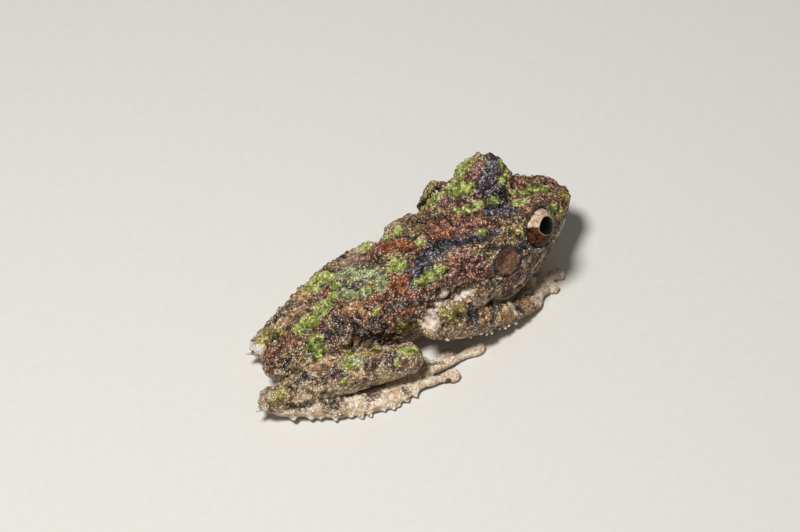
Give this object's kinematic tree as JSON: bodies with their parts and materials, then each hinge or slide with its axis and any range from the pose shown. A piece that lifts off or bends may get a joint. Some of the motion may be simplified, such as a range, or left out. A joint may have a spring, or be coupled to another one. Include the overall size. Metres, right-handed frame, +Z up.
{
  "type": "tree frog model",
  "caption": "Life-size still model of a warty, frilled tree frog crouching with folded legs, head raised and belly on the floor.",
  "frame": {"origin": "on the floor at the middle of the flat under the belly", "axes": "+X towards the snout, +Y towards the frog's left, +Z up out of the back"},
  "size_m": [0.0374, 0.0194, 0.0116],
  "materials": {
    "skin_back": "warty skin, speckled brown, rust and green",
    "skin_limb": "warty skin, beige brown with darker bands",
    "skin_under": "granular skin, cream",
    "eye": "glossy, beige and copper iris with a dark pupil",
    "ear_drum": "thin reddish brown skin"
  },
  "bodies": {
    "root": {"head": "skin_back", "lower_jaw": "skin_under", "torso": "skin_back", "eye_left": "eye", "eye_right": "eye", "ear_drum_left": "ear_drum", "ear_drum_right": "ear_drum", "upper_arm_left": "skin_limb", "upper_arm_right": "skin_limb", "forearm_left": "skin_limb", "forearm_right": "skin_limb", "hand_left": "skin_limb", "hand_right": "skin_limb", "thigh_left": "skin_limb", "thigh_right": "skin_limb", "shank_left": "skin_limb", "shank_right": "skin_limb", "tarsus_left": "skin_limb", "tarsus_right": "skin_limb", "foot_left": "skin_limb", "foot_right": "skin_limb"}
  },
  "joints": []
}
